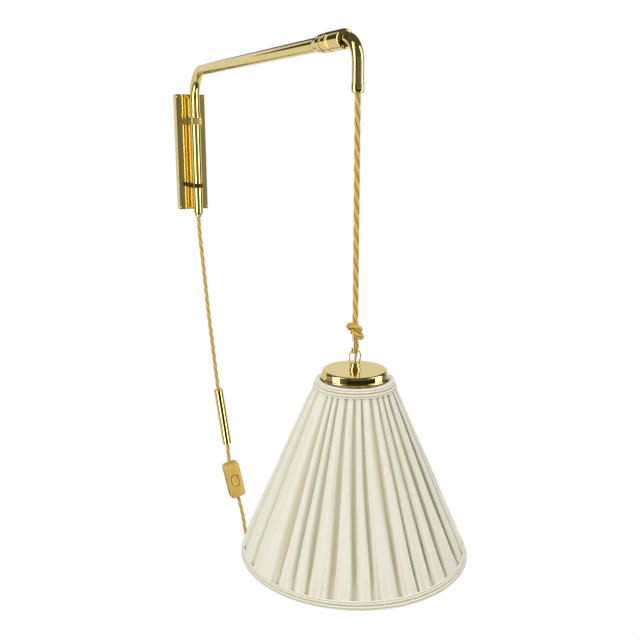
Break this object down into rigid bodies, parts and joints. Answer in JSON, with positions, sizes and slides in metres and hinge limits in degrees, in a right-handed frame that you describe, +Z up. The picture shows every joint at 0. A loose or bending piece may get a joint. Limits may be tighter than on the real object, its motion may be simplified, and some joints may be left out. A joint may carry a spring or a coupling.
{
  "type": "adjustable wall lamp",
  "caption": "Brass wall lamp with a swinging telescopic arm and a pleated shade on a knotted cord, balanced by a tube weight on its switched lead.",
  "frame": {"origin": "centre of the wall box's back face, which lies on the wall", "axes": "+X to the right along the wall seen from the room, +Y into the wall, +Z up; the arm reaches out along -Y"},
  "size_m": [0.3921, 0.7104, 0.892],
  "materials": {
    "brass": "polished",
    "brass_inner": "satin",
    "steel": "satin",
    "white_wire": "satin",
    "cord": "satin",
    "fabric": "matte",
    "lining": "matte",
    "nylon": "satin",
    "ceramic": "glossy",
    "bulb": "frosted",
    "leather": "satin",
    "gold_plastic": "glossy"
  },
  "bodies": {
    "wall": {"wall_box": "brass", "cover_plate": "brass", "corner_screws": "brass", "lower_strap": "brass", "upper_strap": "brass", "lower_saddle": "brass_inner", "upper_saddle": "brass_inner", "saddle_screws": "steel"},
    "arm": {"arm_tube": "brass", "stop_ring": "brass", "foot_ferrule": "brass", "foot_screw": "steel", "foot_bush": "nylon", "arm_cord": "cord", "arm_collar": "brass", "collet": "nylon", "grip_ring": "brass"},
    "nut": {"clamp_nut": "brass"},
    "slider": {"guide_bush": "nylon"},
    "gooseneck": {"gooseneck": "brass", "mouth_ferrule": "brass", "mouth_bush": "nylon", "gooseneck_cord": "cord"},
    "pendant": {"pendant_cord": "cord"},
    "hanger": {"knot": "cord", "hanger_hook": "brass", "cord_leg": "cord"},
    "bail": {"bail_ring": "brass"},
    "shade": {"neck": "brass", "cap": "brass", "nipple": "steel", "spacer_sleeve": "white_wire", "spider": "white_wire", "lock_nut": "steel", "top_ring": "white_wire", "bottom_ring": "white_wire", "shade_ribs": "white_wire", "shade_cover": "fabric", "shade_lining": "lining", "top_trim": "fabric", "bottom_trim": "fabric", "lampholder": "brass", "holder_insert": "ceramic", "bulb": "bulb", "holder_cord": "cord"},
    "lead": {"lead_upper": "cord", "counterweight": "brass", "weight_plugs": "brass_inner", "lead_middle": "cord", "switch_front": "gold_plastic", "switch_back": "gold_plastic", "switch_contacts": "steel", "lead_lower": "cord", "lead_coil": "cord", "coil_tie": "leather", "lead_tail": "cord", "plug_boot": "gold_plastic", "plug_body": "gold_plastic", "plug_pins": "steel"},
    "rocker": {"switch_rocker": "gold_plastic"}
  },
  "joints": [
    {"name": "arm_swing", "type": "hinge", "parent": "wall", "child": "arm", "pos_m": [0, -0.038, 0], "axis": [0, 0, 1], "range_deg": [-75, 75]},
    {"name": "nut_turn", "type": "hinge", "parent": "arm", "child": "nut", "pos_m": [0, -0.51, 0.123], "axis": [0, 1, 0], "continuous": true},
    {"name": "arm_extend", "type": "slide", "parent": "arm", "child": "slider", "axis": [0, -1, 0], "range_m": [0, 0.22]},
    {"name": "gooseneck_turn", "type": "hinge", "parent": "slider", "child": "gooseneck", "pos_m": [0, -0.45, 0.123], "axis": [0, 1, 0], "range_deg": [-20, 20]},
    {"name": "pendant_swing", "type": "hinge", "parent": "gooseneck", "child": "pendant", "pos_m": [0, -0.587, 0.074], "axis": [1, 0, 0], "range_deg": [-12, 12]},
    {"name": "shade_drop", "type": "slide", "parent": "pendant", "child": "hanger", "axis": [0, 0, -1], "range_m": [-0.2, 0.22], "deforming": ["pendant_cord"]},
    {"name": "bail_tilt", "type": "hinge", "parent": "hanger", "child": "bail", "pos_m": [0, -0.587, -0.1865], "axis": [0, 1, 0], "range_deg": [-4, 4]},
    {"name": "shade_tilt", "type": "hinge", "parent": "bail", "child": "shade", "pos_m": [0, -0.587, -0.2007], "axis": [1, 0, 0], "range_deg": [-5, 5]},
    {"name": "lead_travel", "type": "slide", "parent": "wall", "child": "lead", "axis": [0, 0, -1], "range_m": [-0.22, 0.2], "deforming": ["lead_upper"]},
    {"name": "rocker_tilt", "type": "hinge", "parent": "lead", "child": "rocker", "pos_m": [0.04758, -0.038, -0.56534], "axis": [0.9799, 0, 0.1994], "range_deg": [-6, 6]}
  ],
  "couplings": [
    {"joint": "lead_travel", "follows": "shade_drop", "ratio": -1}
  ]
}
